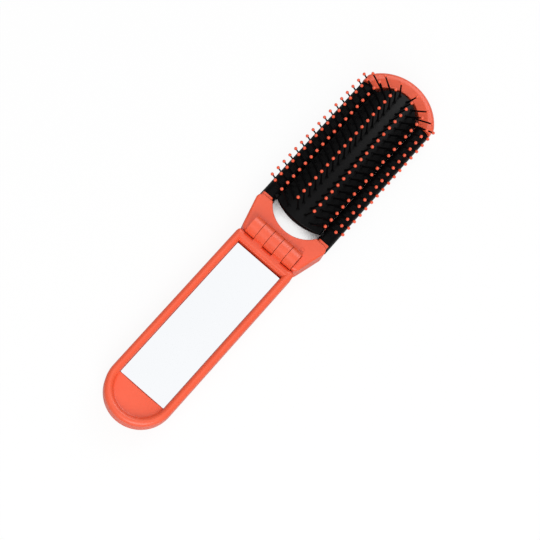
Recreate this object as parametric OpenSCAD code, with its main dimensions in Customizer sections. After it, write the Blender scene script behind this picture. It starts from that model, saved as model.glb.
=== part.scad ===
// Folding hairbrush with mirror, open and lying on its back.
// X runs across the brush, Y from the handle to the brush head, Z up.
// The origin lies on the resting plane, straight under the middle of the hinge pin.

/* [Brush head] */
// Width across the two side rails
head_w = 36; // [34:0.5:40]
// Height of the neck, the crown and the handle
head_h = 11.5; // [11:0.1:12.5]
// Distance from the hinge pin to the shoulders that the rails butt against
neck_len = 13.4; // [13:0.1:15]
// Free length of the side rails
rail_len = 67.2; // [60:0.1:74]
// Depth of the crown beyond the rails
crown_len = 13.4; // [12.6:0.1:14]
// Radius of the crown's outer curve
crown_arc_r = 21; // [20.4:0.1:24]
// Radius of the crown's corners
crown_corner_r = 2.4; // [2.2:0.1:3.4]
// Radius of the crown's rounded outer edge
crown_edge_r = 2.2; // [1:0.1:2.2]
// Depth of the open curve in the neck
neck_scoop = 6.4; // [5.5:0.1:7]
// Depth of the open curve in the crown
crown_scoop = 7.1; // [6:0.1:7.3]
// Radius of the edges of the open curves
scoop_edge_r = 0.5; // [0.3:0.1:0.6]
// Drop of the crown's face from its ridge to its open curve
crown_drop = 1; // [0.4:0.1:1.1]
// Width of the crown's band outside the ridge
crown_band_w = 2.7; // [2.3:0.1:3.2]
// Radius of the neck's corners beside the rails
shoulder_r = 2.6; // [1.5:0.1:3]
// Radius of the neck's edges
neck_edge_r = 0.8; // [0.5:0.1:1.2]
// Width of the neck across its ears, beside the hinge
ear_span = 29.8; // [28.5:0.1:32]
// Radius of the ears' edges
ear_edge_r = 1.2; // [0.8:0.1:1.3]
// Gap between the ears and the end of the handle
ear_gap = 0.3; // [0.2:0.05:0.6]

/* [Side rails] */
// Width of each side rail
rail_w = 6.3; // [5.8:0.1:6.8]
// Height of each side rail
rail_h = 9; // [8:0.1:9.4]
// Height of the rails' lower faces above the resting plane
rail_base = 1; // [0.6:0.1:1.4]
// Radius of the rails' outer edges
rail_edge_r = 2.8; // [1:0.1:3]
// Radius of the rails' edges beside the pad
rail_inner_r = 2.1; // [2:0.1:2.8]
// Length of the tenons at the ends of a rail
tenon_len = 3.5; // [2:0.5:4]
// Width of the tenons
tenon_w = 2.8; // [2:0.1:3.2]
// Height of the tenons
tenon_h = 4.5; // [3:0.1:5]
// Clearance round the tenons
tenon_gap = 0.1; // [0.05:0.05:0.2]
// Length of the collars that hood the rails' ends at the neck
collar_len = 1; // [0.5:0.1:1.5]
// Height of the collars above the rails
collar_rise = 0.8; // [0.5:0.1:0.9]
// Distance that the collars lie inside the rails' sides
collar_inset = 0.7; // [0.5:0.1:1]

/* [Hinge] */
// Height of the hinge pin above the faces of the two halves
hinge_rise = 0.3; // [0.2:0.05:0.6]
// Radius of the knuckles
knuckle_r = 4.2; // [4:0.1:4.3]
// Width of the row of five knuckles
knuckle_row_w = 23.8; // [22:0.2:24.4]
// Gap between neighbouring knuckles, and between the row and the ears
knuckle_gap = 0.2; // [0.1:0.05:0.3]
// Distance from the hinge pin to the facing walls of the two halves
hinge_setback = 3.8; // [3.6:0.05:4]
// Gap between the knuckles and their round seats in the facing half
seat_gap = 0.25; // [0.2:0.05:0.4]
// Diameter of the hinge pin
hinge_pin_d = 2; // [1.5:0.1:2.4]
// Radial clearance of the hinge pin
hinge_pin_gap = 0.05; // [0.02:0.01:0.08]
// Distance that the hinge pin's ends lie inside the row of knuckles
hinge_pin_inset = 0.5; // [0.2:0.1:1]

/* [Handle] */
// Width of the handle
handle_w = 29.6; // [28:0.1:31]
// Distance from the hinge pin to the tip of the handle
handle_len = 95.2; // [92:0.1:97]
// Width of the rounded rim
rim_w = 3.5; // [3.3:0.1:3.8]
// Width of the rounded bar beside the hinge
hinge_bar_w = 4.2; // [3.8:0.1:4.8]
// Depth of the mirror's face below the rim
mirror_recess = 3; // [2.9:0.1:3.4]
// Thickness of the mirror glass
mirror_t = 2; // [1.4:0.1:2.4]
// Thickness of the adhesive pad under the glass
tape_t = 0.5; // [0.3:0.1:0.8]
// Clearance round the mirror glass
mirror_gap = 0.1; // [0.05:0.05:0.2]
// Open slot between the mirror glass and the bar beside the hinge
mirror_end_gap = 0.75; // [0.4:0.05:1]
// Distance that the adhesive pad lies inside the edge of the glass
tape_inset = 1.5; // [1:0.5:3]
// Rise of the handle's crowned back from its middle to its sides
back_crown = 1.1; // [0.6:0.1:1.6]
// Radius of the handle's lower edges
back_edge_r = 3; // [2:0.1:3.4]
// Radius between the rim and the floor at the handle's tip
floor_fillet = 1.1; // [0.5:0.1:1.4]
// Depth of the dished floor at the handle's tip
floor_dish = 0.5; // [0.2:0.1:0.8]
// Radius of the handle's corners beside the hinge
handle_corner_r = 2.4; // [1:0.1:3]

/* [Bristle pad] */
// Height that the pad rises as the brush opens
pad_lift = 8.8; // [8:0.1:9]
// Height of the pad above the resting plane when the brush is folded
pad_floor = 0.2; // [0.1:0.05:0.3]
// Thickness of the pad at its long edges
pad_edge_t = 0.9; // [0.8:0.05:1]
// Rise of the pad from its long edges to its crest
pad_rise = 2.3; // [2.1:0.1:2.4]
// Gap between the pad and the rails
pad_side_gap = 0.2; // [0.15:0.05:0.4]
// Distance from the neck's shoulders to the pad's corners
pad_inset = 2.7; // [2.2:0.1:3]
// Bulge of the pad's end towards the neck
pad_bulge = 2.9; // [2:0.1:3.2]
// Gap between the pad's end and the open curve in the crown
pad_end_gap = 1.3; // [1:0.1:1.5]
// Thickness of the carrier plate set into the pad
carrier_t = 0.6; // [0.5:0.05:0.7]
// Width of the carrier plate
carrier_w = 13; // [10:0.5:13.6]
// Clearance round the carrier plate
carrier_gap = 0.1; // [0.05:0.05:0.2]
// Width of the guide lugs on the carrier plate
lug_w = 1.4; // [1.2:0.1:1.6]
// Reach of the guide lugs into their slots
lug_reach = 1; // [0.8:0.1:1.2]
// Clearance of the guide lugs in their slots
lug_gap = 0.15; // [0.1:0.05:0.2]

/* [Pins] */
// Distance from the pad's middle line to the first row of pins
row_first = 1.95; // [1.9:0.05:2.2]
// Distance from the first row to the second
row_step = 3.55; // [3.45:0.05:3.6]
// Amount by which each further step is smaller than the one before
row_step_loss = 0.92; // [0.88:0.02:1]
// Distance between the pins in a row
pin_pitch = 3.73; // [3.6:0.01:3.9]
// Distance from a row's last pin to the pad's end by the crown
row_far_inset = 1.65; // [1.6:0.05:2.2]
// Least distance from a row's first pin to the pad's end by the neck
row_near_inset = 2; // [1.8:0.05:2.4]
// Depth below the pad's crest of the line that the opened pins fan out from
fan_depth = 9.7; // [9.5:0.1:10.5]
// Length of a pin from the pad to the middle of its ball
pin_len = 10.8; // [10:0.1:10.9]
// Diameter of a pin at its foot
pin_foot_d = 0.8; // [0.7:0.05:0.9]
// Diameter of a pin at its ball
pin_tip_d = 0.6; // [0.5:0.05:0.7]
// Diameter of the ball on a pin
ball_d = 1.35; // [1.2:0.05:1.4]
// Clearance of a pin in its ball
ball_bore_gap = 0.02; // [0.01:0.01:0.04]
// Radius of the round root of a pin
root_r = 0.85; // [0.8:0.01:0.86]
// Radius of the strip that joins the roots of a row
strip_r = 0.3; // [0.2:0.02:0.32]
// Clearance round the roots and their strip
root_gap = 0.07; // [0.04:0.01:0.08]
// Depth of a root's centre below the pad's surface
root_depth = 0.45; // [0.44:0.01:0.48]

/* [Hidden] */
coral = [0.93, 0.33, 0.19];
black = [0.09, 0.09, 0.1];
round_fn = 64;
small_fn = 24;
arc_steps = 8;
reach = 1;
ejector_x = 10.3;
ejector_y = 5.6;
ring_r = 0.95;
ring_w = 0.2;
ring_depth = 0.08;

half_w = head_w / 2;
rail_in = half_w - rail_w;
rail_y0 = neck_len;
rail_y1 = rail_y0 + rail_len;
rail_mid_x = half_w - rail_w / 2;
rail_mid_z = rail_base + rail_h / 2;
tip_y = rail_y1 + crown_len;

hinge_z = head_h + hinge_rise;
seat_r = knuckle_r + seat_gap;
knuckle_w = (knuckle_row_w - 4 * knuckle_gap) / 5;
notch_half = knuckle_row_w / 2 + knuckle_gap;
ear_y = ear_gap - hinge_setback;
ear_r = ear_span / 2 - notch_half;

neck_r = arc_radius(rail_in, neck_scoop);
neck_scoop_y = rail_y0 - neck_scoop + neck_r;
crown_r = arc_radius(rail_in, crown_scoop);
crown_scoop_y = rail_y1 + crown_scoop - crown_r;
crown_lip_z = head_h - crown_drop;
ridge_r = tip_y - crown_band_w - crown_scoop_y;

handle_half = handle_w / 2;
handle_round_y = -(handle_len - handle_half);
recess_half = handle_half - rim_w;
rim_z = head_h - rim_w / 2;
bar_r = hinge_bar_w / 2;
bar_in_y = -(hinge_setback + hinge_bar_w);
mirror_z = head_h - mirror_recess - mirror_t;
tape_z = mirror_z - tape_t;
mirror_half = recess_half - mirror_gap;
mirror_y0 = handle_round_y + mirror_gap;
mirror_len = bar_in_y - mirror_end_gap - mirror_y0;

pad_z = pad_floor + pad_lift;
pad_half = rail_in - pad_side_gap;
pad_crest = pad_z + pad_edge_t + pad_rise;
pad_r = arc_radius(pad_half, pad_rise);
pad_near_r = arc_radius(pad_half, pad_bulge);
pad_near_y = rail_y0 + pad_inset - pad_bulge;
pad_far_r = crown_r - pad_end_gap;
lug_y = rail_y0 + pad_inset + lug_w / 2 + carrier_gap;

// Radius of an arc, from half its chord and its height
function arc_radius(half_chord, height) = (half_chord * half_chord + height * height) / (2 * height);

// Two runs of points that meet at one point
function joined(first, second) = concat(first, [for (i = [1 : len(second) - 1]) second[i]]);

// Points on an arc round [cx, cy], from angle a0 to angle a1
function arc(cx, cy, rx, ry, a0, a1, steps = arc_steps) =
    [for (i = [0 : steps]) let (a = a0 + (a1 - a0) * i / steps) [cx + rx * cos(a), cy + ry * sin(a)]];

// The same points on the other side of the middle line, in the opposite order
function mirrored(points) = [for (i = [len(points) - 1 : -1 : 0]) [-points[i].x, points[i].y]];

// Rows are numbered 1 to 8 from left to right; rows 4 and 5 lie beside the middle line
function row_side(row) = row <= 4 ? -1 : 1;
function row_rank(row) = row <= 4 ? 4 - row : row - 5;
function row_dist(rank) = row_first + row_step * rank - row_step_loss * rank * (rank - 1) / 2;
function row_drop(rank) = pad_r - sqrt(pad_r * pad_r - pow(row_dist(rank), 2)) + root_depth;
function row_lean(rank) = atan(row_dist(rank) / (fan_depth - row_drop(rank)));
function row_last_y(rank) =
    crown_scoop_y + sqrt(pow(pad_far_r, 2) - pow(row_dist(rank), 2)) - row_far_inset;
function row_first_limit(rank) =
    pad_near_y + pad_near_r - sqrt(pow(pad_near_r, 2) - pow(row_dist(rank), 2)) + row_near_inset;
function row_count(rank) = floor((row_last_y(rank) - row_first_limit(rank)) / pin_pitch) + 1;

// Lays a profile drawn in X and Z along Y, from y0 to y1
module along_y(y0, y1) {
    translate([0, y1, 0]) rotate([90, 0, 0]) linear_extrude(y1 - y0) children();
}

// Lays a profile drawn in Y and Z along X, over a width about the middle
module along_x(width) {
    rotate([90, 0, 90]) translate([0, 0, -width / 2]) linear_extrude(width) children();
}

// A disc with rounded rims
module soft_disc(r, edge, height) {
    rotate_extrude($fn = 32)
        polygon(concat([[0, 0]], arc(r - edge, edge, edge, edge, -90, 0),
            arc(r - edge, height - edge, edge, edge, 0, 90), [[0, height]]));
}

// An upright cylinder that flares out at both ends, to cut a round opening with soft edges
module soft_scoop(r, top) {
    e = scoop_edge_r;
    flare = r + e;
    rotate_extrude($fn = 2 * round_fn)
        polygon(concat([[0, -reach], [flare, -reach]],
            arc(flare, e, e, e, 270, 180),
            arc(flare, top - e, e, e, 180, 90),
            [[flare, head_h + reach], [0, head_h + reach]]));
}

// A barrel round the hinge pin at the place of knuckle number 1 to 5
module barrel(number, r, width) {
    x = (number - 3) * (knuckle_w + knuckle_gap);
    translate([x - width / 2, 0, hinge_z]) rotate([0, 90, 0])
        cylinder(r = r, h = width, $fn = round_fn);
}

// A knuckle, with a web that joins it to the half on one side of the hinge
module knuckle(number, side) {
    web_len = hinge_setback + (side > 0 ? reach : bar_r);
    barrel(number, knuckle_r, knuckle_w);
    translate([(number - 3) * (knuckle_w + knuckle_gap) - knuckle_w / 2,
            side > 0 ? 0 : -web_len, hinge_z - knuckle_r])
        cube([knuckle_w, web_len, knuckle_r - hinge_rise]);
}

// Cuts the round seat in which the other half's knuckle turns
module knuckle_seat(number) {
    barrel(number, seat_r, knuckle_w + 2 * knuckle_gap);
}

module hinge_bore() {
    len = knuckle_row_w + knuckle_gap;
    translate([-len / 2, 0, hinge_z]) rotate([0, 90, 0])
        cylinder(d = hinge_pin_d + 2 * hinge_pin_gap, h = len, $fn = round_fn);
}

// The two tenons' sockets, reaching into the neck or the crown from a shoulder at height y
module tenon_sockets(y) {
    w = tenon_w + 2 * tenon_gap;
    h = tenon_h + 2 * tenon_gap;
    depth = tenon_len + tenon_gap;
    for (side = [-1, 1])
        translate([side * rail_mid_x - w / 2, y - depth, rail_mid_z - h / 2])
            cube([w, 2 * depth, h]);
}

// The neck's plate: broad shoulders at the rails, narrowing to the ears beside the hinge
module neck_plate() {
    hull()
        for (side = [-1, 1]) {
            translate([side * (half_w - shoulder_r), rail_y0 - shoulder_r, 0])
                soft_disc(shoulder_r, neck_edge_r, head_h);
            translate([side * (ear_span / 2 - ear_r), ear_y + ear_r, 0])
                soft_disc(ear_r, ear_edge_r, head_h);
        }
}

// A hood over the end of one rail, open at its sides
module rail_collar(side) {
    half = rail_w / 2 - collar_inset;
    top = rail_h / 2 + collar_rise;
    along_y(rail_y0 - shoulder_r, rail_y0 + collar_len)
        translate([side * rail_mid_x, rail_mid_z])
            difference() {
                polygon(concat(arc(half - collar_rise, top - collar_rise, collar_rise, collar_rise, 0, 90),
                    arc(collar_rise - half, top - collar_rise, collar_rise, collar_rise, 90, 180),
                    [[-half, 0], [half, 0]]));
                polygon(rail_profile(side, tenon_gap));
            }
}

// The faint ring that an ejector pin left on the neck
module ejector_ring() {
    translate([ejector_x, ejector_y, head_h - ring_depth])
        difference() {
            cylinder(r = ring_r, h = reach, $fn = small_fn);
            translate([0, 0, -reach]) cylinder(r = ring_r - ring_w, h = 3 * reach, $fn = small_fn);
        }
}

module neck_frame() {
    color(coral)
    difference() {
        union() {
            difference() {
                union() {
                    neck_plate();
                    for (side = [-1, 1]) rail_collar(side);
                }
                translate([0, neck_scoop_y, 0]) soft_scoop(neck_r, head_h);
                translate([-notch_half, -half_w, -reach])
                    cube([2 * notch_half, half_w + hinge_setback, head_h + 2 * reach]);
                for (number = [2, 4]) knuckle_seat(number);
                ejector_ring();
            }
            for (number = [1, 3, 5]) knuckle(number, 1);
        }
        hinge_bore();
        tenon_sockets(rail_y0);
    }
}

// Outline of the crown, drawn in by an inset; its ends stay on the shoulders
function crown_outline(inset) =
    let (arc_y = tip_y - crown_arc_r, far = crown_arc_r - crown_corner_r,
         x = half_w - crown_corner_r, y = arc_y + sqrt(far * far - x * x), swing = acos(x / far),
         r = crown_corner_r - inset, arc_r = crown_arc_r - inset)
    concat([[half_w - inset, rail_y1]],
        arc(x, y, r, r, 0, swing, 6),
        arc(0, arc_y, arc_r, arc_r, swing, 180 - swing, 28),
        arc(-x, y, r, r, 180 - swing, 180, 6),
        [[inset - half_w, rail_y1]]);

// Cuts the crown's face down from its ridge to the lip of its open curve
module crown_slope() {
    rotate_extrude($fn = 2 * round_fn)
        polygon([[0, crown_lip_z], [crown_r + scoop_edge_r, crown_lip_z], [ridge_r, head_h],
            [ridge_r, head_h + reach], [0, head_h + reach]]);
}

module crown_cap() {
    slot_w = lug_w + 2 * lug_gap;
    slot_end = rail_y1 + crown_scoop + lug_reach + lug_gap;
    slot_top = pad_z + carrier_t + lug_gap;
    color(coral)
    difference() {
        hull()
            for (angle = [0 : 18 : 90]) {
                low = crown_edge_r * (1 - sin(angle));
                translate([0, 0, low]) linear_extrude(head_h - 2 * low)
                    polygon(crown_outline(crown_edge_r * (1 - cos(angle))));
            }
        translate([0, crown_scoop_y, 0]) {
            soft_scoop(crown_r, crown_lip_z);
            crown_slope();
        }
        tenon_sockets(rail_y1);
        translate([-slot_w / 2, crown_scoop_y, -reach])
            cube([slot_w, slot_end - crown_scoop_y, slot_top + reach]);
    }
}

// Cross-section of the rail on one side about its own middle, grown all round by a gap
function rail_profile(side, gap) =
    let (outer = rail_edge_r, inner = rail_inner_r, r = outer + gap, s = inner + gap,
         x = rail_w / 2, z = rail_h / 2,
         right = concat(arc(x - outer, z - outer, r, r, 0, 90), arc(inner - x, z - inner, s, s, 90, 180),
             arc(inner - x, inner - z, s, s, 180, 270), arc(x - outer, outer - z, r, r, 270, 360)))
    side > 0 ? right : mirrored(right);

module rail(side) {
    slot_w = lug_w + 2 * lug_gap;
    slot_depth = lug_reach + lug_gap;
    color(black)
    difference() {
        union() {
            along_y(rail_y0, rail_y1)
                translate([side * rail_mid_x, rail_mid_z]) polygon(rail_profile(side, 0));
            translate([side * rail_mid_x - tenon_w / 2, rail_y0 - tenon_len, rail_mid_z - tenon_h / 2])
                cube([tenon_w, rail_len + 2 * tenon_len, tenon_h]);
        }
        translate([side * rail_in - slot_depth, lug_y - slot_w / 2, -reach])
            cube([2 * slot_depth, slot_w, head_h + reach]);
    }
}

module hinge_pin() {
    len = knuckle_row_w - 2 * hinge_pin_inset;
    color("silver")
    translate([-len / 2, 0, hinge_z]) rotate([0, 90, 0])
        cylinder(d = hinge_pin_d, h = len, $fn = round_fn);
}

// Lower half of the handle's cross-section, from its middle to the outside of its rim
function handle_back() =
    let (chord = handle_half - back_edge_r, r = arc_radius(chord, back_crown),
         swing = asin(chord / (r - back_edge_r)),
         edge_z = r - (r - back_edge_r) * cos(swing))
    joined(arc(0, r, r, r, -90, swing - 90, 12),
        arc(chord, edge_z, back_edge_r, back_edge_r, swing - 90, 0));

// The rounded top of the rim, from its outside to its inside
function rim_top() = arc(handle_half - rim_w / 2, rim_z, rim_w / 2, rim_w / 2, 0, 180, 16);

// Half the cross-section along the mirror, with a flat floor for the adhesive pad
function tray_half() = concat(handle_back(), rim_top(), [[recess_half, tape_z], [0, tape_z]]);

// Half the cross-section of the solid ends, with the rim's outer edge
function solid_half() = concat(handle_back(),
    arc(handle_half - rim_w / 2, rim_z, rim_w / 2, rim_w / 2, 0, 90), [[0, head_h]]);

// Half the cross-section round the tip, with a dished floor level with the mirror
function tip_half() =
    let (floor_z = head_h - mirror_recess, flat = recess_half - floor_fillet,
         r = arc_radius(flat, floor_dish), swing = asin(flat / (r - floor_fillet)),
         dish_z = floor_z + floor_fillet + (r - floor_fillet) * cos(swing))
    concat(handle_back(), rim_top(),
        joined(arc(flat, floor_z + floor_fillet, floor_fillet, floor_fillet, 0, swing - 90),
            arc(0, dish_z, r, r, swing - 90, -90, 10)));

// The bar beside the hinge: rounded on top, and cut to the handle's own section
module hinge_bar() {
    intersection() {
        along_y(bar_in_y, -hinge_setback) polygon(concat(solid_half(), mirrored(solid_half())));
        along_x(handle_w)
            polygon(concat([[bar_in_y, -reach], [-hinge_setback, -reach]],
                arc(-hinge_setback - bar_r, head_h - bar_r, bar_r, bar_r, 0, 180, 16)));
    }
}

// The handle's limits: rounded corners in plan, and a rounded end towards the hinge
module handle_limits() {
    corner = handle_half - handle_corner_r;
    corner_y = -hinge_setback - handle_corner_r;
    far_y = -handle_len - reach;
    right = concat([[handle_half + reach, far_y], [handle_half + reach, corner_y]],
        arc(corner, corner_y, handle_corner_r, handle_corner_r, 0, 90));
    intersection() {
        linear_extrude(head_h + reach) polygon(concat(right, mirrored(right)));
        along_x(head_w)
            polygon(concat([[far_y, 0]],
                arc(-hinge_setback - back_edge_r, back_edge_r, back_edge_r, back_edge_r, -90, 0),
                arc(-hinge_setback - bar_r, head_h - bar_r, bar_r, bar_r, 0, 90),
                [[far_y, head_h + reach]]));
    }
}

module handle_shell() {
    color(coral)
    difference() {
        union() {
            difference() {
                intersection() {
                    union() {
                        along_y(handle_round_y, -hinge_setback - bar_r)
                            polygon(concat(tray_half(), mirrored(tray_half())));
                        hinge_bar();
                        translate([0, handle_round_y, 0]) rotate([0, 0, 180])
                            rotate_extrude(angle = 180, $fn = 2 * round_fn) polygon(tip_half());
                    }
                    handle_limits();
                }
                for (number = [1, 3, 5]) knuckle_seat(number);
            }
            for (number = [2, 4]) knuckle(number, -1);
        }
        hinge_bore();
    }
}

module mirror() {
    color("aliceblue")
    translate([-mirror_half, mirror_y0, mirror_z])
        cube([2 * mirror_half, mirror_len, mirror_t]);
}

module mirror_tape() {
    w = 2 * (mirror_half - tape_inset);
    len = mirror_len - 2 * tape_inset;
    color("dimgray")
    translate([-w / 2, mirror_y0 + tape_inset, tape_z]) cube([w, len, tape_t]);
}

// Plan of the carrier plate: a plate, a cross bar with two lugs, and a lug towards the crown
module carrier_plan(gap) {
    plate_y0 = lug_y - lug_w / 2;
    plate_y1 = row_last_y(1);
    bar_w = 2 * (rail_in + lug_reach);
    tongue_y1 = rail_y1 + crown_scoop + lug_reach;
    translate([-carrier_w / 2 - gap, plate_y0 - gap])
        square([carrier_w + 2 * gap, plate_y1 - plate_y0 + 2 * gap]);
    translate([-bar_w / 2 - gap, plate_y0 - gap]) square([bar_w + 2 * gap, lug_w + 2 * gap]);
    translate([-lug_w / 2 - gap, plate_y0]) square([lug_w + 2 * gap, tongue_y1 - plate_y0]);
}

module pad_carrier() {
    color("dimgray")
    translate([0, 0, pad_z]) linear_extrude(carrier_t) carrier_plan(0);
}

// Places its children at the root of one of a row's pins, with the row's middle line along Y
module at_root(row, i) {
    rank = row_rank(row);
    y = row_last_y(rank) - i * pin_pitch;
    translate([row_side(row) * row_dist(rank), y, pad_crest - row_drop(rank)]) children();
}

module row_strip(row, r) {
    len = (row_count(row_rank(row)) - 1) * pin_pitch;
    at_root(row, 0) rotate([90, 0, 0]) cylinder(r = r, h = len, $fn = small_fn);
}

module bristle_pad() {
    near_swing = asin(pad_half / pad_near_r);
    far_swing = asin(pad_half / pad_far_r);
    color(black)
    difference() {
        intersection() {
            translate([0, 0, pad_z]) linear_extrude(pad_crest - pad_z + reach)
                polygon(concat(
                    arc(0, pad_near_y + pad_near_r, pad_near_r, pad_near_r,
                        -90 - near_swing, near_swing - 90, 16),
                    arc(0, crown_scoop_y, pad_far_r, pad_far_r, 90 - far_swing, 90 + far_swing, 24)));
            translate([0, tip_y, pad_crest - pad_r]) rotate([90, 0, 0])
                cylinder(r = pad_r, h = tip_y, $fn = 4 * round_fn);
        }
        translate([0, 0, pad_z - reach]) linear_extrude(reach + carrier_t) carrier_plan(carrier_gap);
        for (row = [1 : 8]) {
            row_strip(row, strip_r + root_gap);
            for (i = [0 : row_count(row_rank(row)) - 1])
                at_root(row, i) sphere(r = root_r + root_gap, $fn = small_fn);
        }
    }
}

module pin_row(row) {
    rank = row_rank(row);
    color(black) {
        row_strip(row, strip_r);
        for (i = [0 : row_count(rank) - 1])
            at_root(row, i) {
                sphere(r = root_r, $fn = small_fn);
                rotate([0, row_side(row) * row_lean(rank), 0])
                    cylinder(d1 = pin_foot_d, d2 = pin_tip_d, h = root_depth + pin_len, $fn = small_fn);
            }
    }
}

module ball_row(row) {
    rank = row_rank(row);
    color(coral)
    for (i = [0 : row_count(rank) - 1])
        at_root(row, i) rotate([0, row_side(row) * row_lean(rank), 0])
            translate([0, 0, root_depth + pin_len])
                difference() {
                    sphere(d = ball_d, $fn = small_fn);
                    translate([0, 0, -ball_d])
                        cylinder(d = pin_tip_d + 2 * ball_bore_gap, h = ball_d, $fn = small_fn);
                }
}

neck_frame();
crown_cap();
rail(-1);  // rail_left
rail(1);  // rail_right
hinge_pin();
handle_shell();
mirror();
mirror_tape();
pad_carrier();
bristle_pad();
pin_row(1);  // pin_row_1
pin_row(2);  // pin_row_2
pin_row(3);  // pin_row_3
pin_row(4);  // pin_row_4
pin_row(5);  // pin_row_5
pin_row(6);  // pin_row_6
pin_row(7);  // pin_row_7
pin_row(8);  // pin_row_8
ball_row(1);  // ball_row_1
ball_row(2);  // ball_row_2
ball_row(3);  // ball_row_3
ball_row(4);  // ball_row_4
ball_row(5);  // ball_row_5
ball_row(6);  // ball_row_6
ball_row(7);  // ball_row_7
ball_row(8);  // ball_row_8
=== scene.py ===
# Folding hairbrush with mirror, open on a white table
from math import asin, cos, degrees, radians, sin

import bpy
from mathutils import Matrix, Vector


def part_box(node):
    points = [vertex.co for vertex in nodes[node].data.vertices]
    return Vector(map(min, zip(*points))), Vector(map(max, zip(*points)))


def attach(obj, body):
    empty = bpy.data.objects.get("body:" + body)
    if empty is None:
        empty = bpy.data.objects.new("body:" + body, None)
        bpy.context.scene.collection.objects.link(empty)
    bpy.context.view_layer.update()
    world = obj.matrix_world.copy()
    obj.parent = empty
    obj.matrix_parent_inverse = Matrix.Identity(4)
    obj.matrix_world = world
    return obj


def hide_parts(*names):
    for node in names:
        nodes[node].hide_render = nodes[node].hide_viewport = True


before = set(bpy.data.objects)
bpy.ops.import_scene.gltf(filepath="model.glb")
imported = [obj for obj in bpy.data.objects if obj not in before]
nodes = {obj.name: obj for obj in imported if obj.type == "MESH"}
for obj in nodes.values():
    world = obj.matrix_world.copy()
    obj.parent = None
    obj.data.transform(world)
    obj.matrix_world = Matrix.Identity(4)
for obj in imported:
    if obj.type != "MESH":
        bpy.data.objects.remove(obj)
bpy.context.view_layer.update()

MM = 0.001
ROW_COUNT = 8


# Camera

def make_camera():
    """A long lens above the handle's side, looking down on the open brush."""
    turn = radians(41.94)
    tilt = radians(17.96)
    roll = radians(3.5)
    distance = 0.7335
    focal_px = 1800.0
    image_px = 540.0
    sensor_mm = 36.0
    hinge_px = (269.39, 250.92)
    turned = Matrix(((cos(turn), sin(turn), 0), (-sin(turn), cos(turn), 0), (0, 0, 1)))
    tilted = Matrix(((1, 0, 0), (0, cos(tilt), sin(tilt)), (0, -sin(tilt), cos(tilt))))
    rolled = Matrix(((cos(roll), 0, -sin(roll)), (0, 1, 0), (sin(roll), 0, cos(roll))))
    to_world = (turned @ tilted @ rolled).transposed()
    middle_px = image_px / 2
    across = (hinge_px[0] - middle_px) / focal_px * distance
    up = -(hinge_px[1] - middle_px) / focal_px * distance
    data = bpy.data.cameras.new("camera")
    data.sensor_width = sensor_mm
    data.lens = sensor_mm * focal_px / image_px
    data.clip_start = 0.01
    camera = bpy.data.objects.new("camera", data)
    place = to_world @ Vector((-across, -up, distance))
    camera.matrix_world = Matrix.Translation(place) @ to_world.to_4x4()
    bpy.context.scene.collection.objects.link(camera)
    bpy.context.scene.camera = camera


# Shader nodes

def new_material(name):
    """A material with its node tree and its Principled shader."""
    material = bpy.data.materials.new(name)
    material.use_nodes = True
    tree = material.node_tree
    return material, tree, tree.nodes["Principled BSDF"]


def add(tree, kind, **values):
    """A shader node with some of its settings or inputs given by name."""
    made = tree.nodes.new(kind)
    for key, value in values.items():
        if hasattr(made, key):
            setattr(made, key, value)
        else:
            made.inputs[key.replace("_", " ")].default_value = value
    return made


def noise(tree, scale, detail=3.0):
    """Noise on the piece's own coordinates, at so many cells a metre."""
    where = add(tree, "ShaderNodeTexCoord")
    made = add(tree, "ShaderNodeTexNoise", Scale=scale, Detail=detail, Roughness=0.5)
    tree.links.new(where.outputs["Object"], made.inputs["Vector"])
    return made.outputs["Fac"]


def spread(tree, fac, low, high, start=0.3, end=0.7):
    """Maps a factor's range from start to end onto low to high."""
    made = add(tree, "ShaderNodeMapRange")
    made.inputs["From Min"].default_value = start
    made.inputs["From Max"].default_value = end
    made.inputs["To Min"].default_value = low
    made.inputs["To Max"].default_value = high
    tree.links.new(fac, made.inputs["Value"])
    return made.outputs["Result"]


def mixed(tree, fac, first, second):
    """Blends two colours by a factor."""
    made = add(tree, "ShaderNodeMix", data_type="RGBA")
    made.inputs["A"].default_value = (*first, 1)
    made.inputs["B"].default_value = (*second, 1)
    tree.links.new(fac, made.inputs["Factor"])
    return made.outputs["Result"]


# Parts of a finish

def clouds(tree, shader, dark, light, scale, detail=3.0):
    """Colours the surface in faint clouds between two tones."""
    share = spread(tree, noise(tree, scale, detail), 0, 1)
    tree.links.new(mixed(tree, share, dark, light), shader.inputs["Base Color"])


def sheen_spots(tree, shader, low, high, scale):
    """Lets the surface's roughness drift between two values."""
    tree.links.new(spread(tree, noise(tree, scale), low, high), shader.inputs["Roughness"])


def skin(tree, shader, height, scale, detail=2.0, edge=0.0):
    """Gives the surface a fine grain of a height, over edges softened to a radius."""
    made = add(tree, "ShaderNodeBump", Strength=1.0, Distance=height)
    tree.links.new(noise(tree, scale, detail), made.inputs["Height"])
    if edge:
        soft = add(tree, "ShaderNodeBevel", samples=6, Radius=edge)
        tree.links.new(soft.outputs["Normal"], made.inputs["Normal"])
    tree.links.new(made.outputs["Normal"], shader.inputs["Normal"])


# Finishes

def coral_plastic():
    """Satin moulded plastic with faint clouds of deeper tone and a very fine skin."""
    material, tree, shader = new_material("coral_plastic")
    shader.inputs["Specular IOR Level"].default_value = 0.5
    shader.inputs["Coat Weight"].default_value = 0.45
    shader.inputs["Coat Roughness"].default_value = 0.3
    clouds(tree, shader, dark=(0.855, 0.091, 0.028), light=(0.895, 0.104, 0.035), scale=90, detail=4)
    sheen_spots(tree, shader, low=0.40, high=0.52, scale=900)
    skin(tree, shader, height=0.003 * MM, scale=5200, edge=0.12 * MM)
    return material


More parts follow.
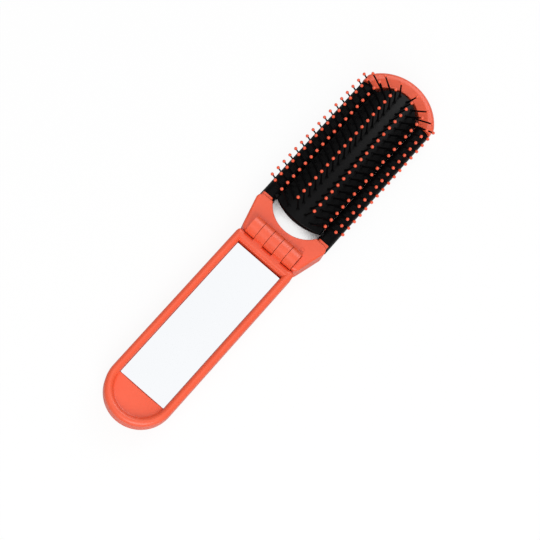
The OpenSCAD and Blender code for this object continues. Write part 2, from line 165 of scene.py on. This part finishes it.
def black_plastic(name, smoothest, roughest, gloss):
    """Black moulded plastic or rubber with a low sheen."""
    material, tree, shader = new_material(name)
    shader.inputs["Specular IOR Level"].default_value = gloss
    clouds(tree, shader, dark=(0.0016, 0.0016, 0.0019), light=(0.0030, 0.0030, 0.0034), scale=140)
    sheen_spots(tree, shader, low=smoothest, high=roughest, scale=700)
    skin(tree, shader, height=0.003 * MM, scale=4000, edge=0.1 * MM)
    return material


def drawn_steel():
    """Drawn steel wire, bright, with fine marks."""
    material, tree, shader = new_material("pin_steel")
    shader.inputs["Metallic"].default_value = 1.0
    clouds(tree, shader, dark=(0.56, 0.56, 0.58), light=(0.64, 0.64, 0.66), scale=1200)
    sheen_spots(tree, shader, low=0.18, high=0.32, scale=2500)
    skin(tree, shader, height=0.002 * MM, scale=6000, detail=3)
    return material


def mirror_glass():
    """Silvered glass, faintly blue."""
    material, tree, shader = new_material("mirror_glass")
    shader.inputs["Metallic"].default_value = 1.0
    clouds(tree, shader, dark=(0.89, 0.905, 0.925), light=(0.905, 0.918, 0.938), scale=30)
    sheen_spots(tree, shader, low=0.02, high=0.035, scale=60)
    return material


def dull_plastic(name, colour):
    """A plain dull plastic or foam."""
    material, tree, shader = new_material(name)
    shader.inputs["Specular IOR Level"].default_value = 0.15
    clouds(tree, shader, dark=tuple(part * 0.8 for part in colour), light=colour, scale=400)
    sheen_spots(tree, shader, low=0.54, high=0.68, scale=900)
    skin(tree, shader, height=0.006 * MM, scale=2600, edge=0.08 * MM)
    return material


# CAD nodes

def row_names(stem):
    """The names of the eight rows of pins, or of their ball ends."""
    return [f"{stem}_row_{number}" for number in range(1, ROW_COUNT + 1)]


def dress(material, *names, crease=32):
    """Gives CAD nodes their material, with smooth round faces and edges crisp past an angle."""
    for name in names:
        node = nodes[name]
        node.data.materials.clear()
        node.data.materials.append(material)
        node.data.polygons.foreach_set("use_smooth", [True] * len(node.data.polygons))
        weld = node.modifiers.new("weld", "WELD")
        weld.merge_threshold = 0.002 * MM
        split = node.modifiers.new("split", "EDGE_SPLIT")
        split.split_angle = radians(crease)
        broad = node.modifiers.new("broad", "WEIGHTED_NORMAL")
        broad.mode = "FACE_AREA"
        broad.weight = 100


def dress_cad_nodes():
    """Gives every CAD node that stays its finish; the crown's ridge is shallow and needs a finer crease."""
    coral = coral_plastic()
    dress(coral, "neck_frame", "handle_shell", *row_names("ball"))
    dress(coral, "crown_cap", crease=11)
    dress(black_plastic("black_plastic", 0.34, 0.44, gloss=0.08), "rail_left", "rail_right")
    dress(black_plastic("pin_nylon", 0.45, 0.55, gloss=0.06), *row_names("pin"))
    dress(drawn_steel(), "hinge_pin")
    dress(dull_plastic("adhesive_foam", (0.08, 0.07, 0.065)), "mirror_tape")
    dress(dull_plastic("carrier_plastic", (0.004, 0.004, 0.0045)), "pad_carrier")


# Modelling helpers

def start(primitive, name, **settings):
    """Adds a primitive with nothing else selected, its place in its mesh."""
    bpy.ops.object.select_all(action="DESELECT")
    primitive(**settings)
    piece = bpy.context.object
    piece.name = name
    piece.data.name = name
    bpy.ops.object.transform_apply(location=True, rotation=True, scale=True)
    return piece


def box_piece(name, low, high):
    """A cube stretched between two corners."""
    middle = [(a + b) / 2 for a, b in zip(low, high)]
    size = [b - a for a, b in zip(low, high)]
    return start(bpy.ops.mesh.primitive_cube_add, name, size=1, location=middle, scale=size)


def arc_radius(half_chord, rise):
    """The radius of an arc that rises so much over half its chord."""
    return (half_chord ** 2 + rise ** 2) / (2 * rise)


def trim(point, outward):
    """Cuts off all that lies beyond a plane and closes the cut; needs edit mode."""
    bpy.ops.mesh.select_all(action="SELECT")
    bpy.ops.mesh.bisect(plane_co=point, plane_no=outward, use_fill=True, clear_outer=True,
                        threshold=0.001 * MM)


def trim_round(centre, radius, facing, swing, step):
    """Trims an end to an arc that swings to both sides of where it faces; angles in degrees.

    Each cut is a plane that touches the arc, and the middle one faces straight out.
    """
    side_cuts = round(swing / step)
    for cut in range(-side_cuts, side_cuts + 1):
        angle = radians(facing + swing * cut / side_cuts)
        outward = (cos(angle), sin(angle), 0)
        trim((centre[0] + radius * outward[0], centre[1] + radius * outward[1], 0), outward)


def bevel_sharp(piece, wanted, width, segments):
    """Bevels the sharp edges that pass a test on their two ends."""
    bpy.ops.object.mode_set(mode="EDIT")
    bpy.ops.mesh.select_mode(type="EDGE")
    bpy.ops.mesh.select_all(action="DESELECT")
    bpy.ops.mesh.edges_select_sharp(sharpness=radians(28))
    bpy.ops.object.mode_set(mode="OBJECT")
    points = piece.data.vertices
    for edge in piece.data.edges:
        if edge.select and not wanted(*(points[end].co for end in edge.vertices)):
            edge.select = False
    for face in piece.data.polygons:
        face.select = False
    bpy.ops.object.mode_set(mode="EDIT")
    bpy.ops.mesh.bevel(offset=width, segments=segments, profile=0.5)
    bpy.ops.object.mode_set(mode="OBJECT")


def sink(piece, cutter):
    """Cuts one piece's shape out of another and throws the cutter away."""
    bpy.ops.object.select_all(action="DESELECT")
    bpy.context.view_layer.objects.active = piece
    piece.select_set(True)
    pocket = piece.modifiers.new("pocket", "BOOLEAN")
    pocket.operation = "DIFFERENCE"
    pocket.object = cutter
    bpy.ops.object.modifier_apply(modifier=pocket.name)
    bpy.data.objects.remove(cutter, do_unlink=True)


def finish(piece, material, slot, body, *replaced):
    """Smooths a piece, gives it its finish, and puts it on its body in place of CAD nodes."""
    bpy.ops.object.select_all(action="DESELECT")
    piece.select_set(True)
    bpy.context.view_layer.objects.active = piece
    bpy.ops.object.shade_smooth_by_angle(angle=radians(30))
    piece.data.materials.clear()
    piece.data.materials.append(material)
    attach(piece, body)
    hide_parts(*replaced)


# Rubber pad

def rubber_pad():
    """The crowned rubber pad: round at both ends, with a soft rim and a pocket for its carrier.

    The cylinder that it is cut from runs past both ends, so that no cut lies on the cylinder's own ends.
    """
    low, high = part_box("bristle_pad")
    half_width = high[0]
    crown_radius = arc_radius(half_width, rise=2.3 * MM)
    near_radius = arc_radius(half_width, rise=2.9 * MM)
    far_radius = 11.89 * MM
    overrun = MM
    rim_radius = 0.35 * MM
    rim_floor = low[2] + 0.3 * MM
    middle_y = (low[1] + high[1]) / 2
    pad = start(bpy.ops.mesh.primitive_cylinder_add, "rubber_pad", vertices=240, radius=crown_radius,
                depth=high[1] - low[1] + 2 * overrun, location=(0, middle_y, high[2] - crown_radius),
                rotation=(radians(90), 0, 0))
    bpy.ops.object.mode_set(mode="EDIT")
    trim((0, 0, low[2]), (0, 0, -1))
    trim((half_width, 0, 0), (1, 0, 0))
    trim((-half_width, 0, 0), (-1, 0, 0))
    near_swing = degrees(asin(half_width / near_radius))
    far_swing = degrees(asin(half_width / far_radius))
    trim_round((0, low[1] + near_radius), near_radius, facing=-90, swing=near_swing, step=3)
    trim_round((0, high[1] - far_radius), far_radius, facing=90, swing=far_swing, step=5)
    bpy.ops.object.mode_set(mode="OBJECT")
    bevel_sharp(pad, lambda a, b: min(a.z, b.z) > rim_floor, rim_radius, segments=3)
    for cutter in pocket_cutters():
        sink(pad, cutter)
    rubber = black_plastic("pad_rubber", 0.32, 0.40, gloss=0.12)
    finish(pad, rubber, "pad_rubber", "pad", "bristle_pad")


def pocket_cutters():
    """Boxes for the carrier's plate, its cross bar and its tongue, each a little larger.

    The plate's box runs on past the plate to the far end of the inner pins.
    """
    low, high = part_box("pad_carrier")
    gap = 0.1 * MM
    plate_half = 6.5 * MM + gap
    tongue_half = 0.7 * MM + gap
    bar_width = 1.4 * MM
    near = low[1] - gap
    pocket_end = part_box("pin_row_4")[1][1]
    bar_end = low[1] + bar_width + gap
    below = low[2] - MM
    roof = high[2] + 0.02 * MM
    return [
        box_piece("plate_cut", (-plate_half, near, below), (plate_half, pocket_end, roof)),
        box_piece("bar_cut", (low[0] - gap, near, below), (high[0] + gap, bar_end, roof)),
        box_piece("tongue_cut", (-tongue_half, low[1], below), (tongue_half, high[1], roof)),
    ]


# Mirror

def mirror_plate():
    """The mirror: a glass plate with nipped corners and a narrow ground edge."""
    low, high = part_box("mirror")
    corner = 0.4 * MM
    ground = 0.12 * MM
    top_floor = high[2] - 0.01 * MM
    plate = box_piece("mirror_plate", low, high)
    bevel_sharp(plate, lambda a, b: abs(a.z - b.z) > MM, corner, segments=4)
    bevel_sharp(plate, lambda a, b: min(a.z, b.z) > top_floor, ground, segments=1)
    finish(plate, mirror_glass(), "mirror_glass", "handle", "mirror")


# Table, lamps and world

def make_table():
    """A table that glows white to the camera, a painted light, and keeps a light shadow of the brush; under
    the brush the glow fades by ambient occlusion, a painted shade.
    """
    bpy.ops.object.select_all(action="DESELECT")
    bpy.ops.mesh.primitive_plane_add(size=6, location=(0, 0, 0))
    table = bpy.context.object
    table.name = "table"
    material, tree, shader = new_material("table_white")
    sight = add(tree, "ShaderNodeLightPath")
    seen = sight.outputs["Is Camera Ray"]
    paint = mixed(tree, seen, (0.6, 0.6, 0.6), (0.92, 0.92, 0.92))
    tree.links.new(paint, shader.inputs["Base Color"])
    shader.inputs["Roughness"].default_value = 0.9
    shader.inputs["Specular IOR Level"].default_value = 0.0
    # Painted light: a white glow for camera rays, faded by the ambient occlusion below as painted shade
    # under the brush.
    white = add(tree, "ShaderNodeEmission")
    shade = add(tree, "ShaderNodeAmbientOcclusion", samples=48, Distance=90 * MM)
    painted_glow_share = spread(tree, shade.outputs["AO"], 0.0, 0.9, start=0.085, end=0.14)
    share = add(tree, "ShaderNodeMath", operation="MULTIPLY")
    tree.links.new(painted_glow_share, share.inputs[0])
    tree.links.new(seen, share.inputs[1])
    blend = add(tree, "ShaderNodeMixShader")
    tree.links.new(share.outputs["Value"], blend.inputs["Fac"])
    tree.links.new(shader.outputs["BSDF"], blend.inputs[1])
    tree.links.new(white.outputs["Emission"], blend.inputs[2])
    tree.links.new(blend.outputs["Shader"], tree.nodes["Material Output"].inputs["Surface"])
    table.data.materials.append(material)


def area_lamp(name, place, size, power):
    """A square lamp at a place, aimed at the brush."""
    aim = Vector((0, 0, 0.01))
    data = bpy.data.lights.new(name, "AREA")
    data.size = size
    data.energy = power
    lamp = bpy.data.objects.new(name, data)
    lamp.location = place
    lamp.rotation_euler = (aim - Vector(place)).to_track_quat("-Z", "Y").to_euler()
    bpy.context.scene.collection.objects.link(lamp)


def make_world():
    """A bright strip overhead along the brush, dim to both sides, and white where the camera looks."""
    strip_shift = 0.07
    strip_level = 0.66
    base_level = 0.38
    world = bpy.data.worlds.new("studio")
    world.use_nodes = True
    bpy.context.scene.world = world
    tree = world.node_tree
    where = add(tree, "ShaderNodeTexCoord")
    split = add(tree, "ShaderNodeSeparateXYZ")
    tree.links.new(where.outputs["Generated"], split.inputs["Vector"])
    offset = add(tree, "ShaderNodeMath", operation="ADD")
    offset.inputs[1].default_value = strip_shift
    tree.links.new(split.outputs["X"], offset.inputs[0])
    aside = add(tree, "ShaderNodeMath", operation="ABSOLUTE")
    tree.links.new(offset.outputs["Value"], aside.inputs[0])
    strip = spread(tree, aside.outputs["Value"], strip_level, 0.0, start=0.12, end=0.42)
    height = spread(tree, split.outputs["Z"], 0.0, 1.0, start=0.3, end=0.8)
    level = add(tree, "ShaderNodeMath", operation="MULTIPLY_ADD")
    level.inputs[2].default_value = base_level
    tree.links.new(strip, level.inputs[0])
    tree.links.new(height, level.inputs[1])
    sight = add(tree, "ShaderNodeLightPath")
    strength = add(tree, "ShaderNodeMath", operation="MAXIMUM")
    tree.links.new(level.outputs["Value"], strength.inputs[0])
    tree.links.new(sight.outputs["Is Camera Ray"], strength.inputs[1])
    ground = tree.nodes["Background"]
    ground.inputs["Color"].default_value = (1, 1, 1, 1)
    tree.links.new(strength.outputs["Value"], ground.inputs["Strength"])


dress_cad_nodes()
rubber_pad()
mirror_plate()
make_camera()
make_table()
make_world()
area_lamp("front", (0.42, -0.58, 0.62), size=0.6, power=5.4)
area_lamp("back", (0.0, 0.72, 0.58), size=0.6, power=2.6)
bpy.context.scene.view_settings.view_transform = "Standard"
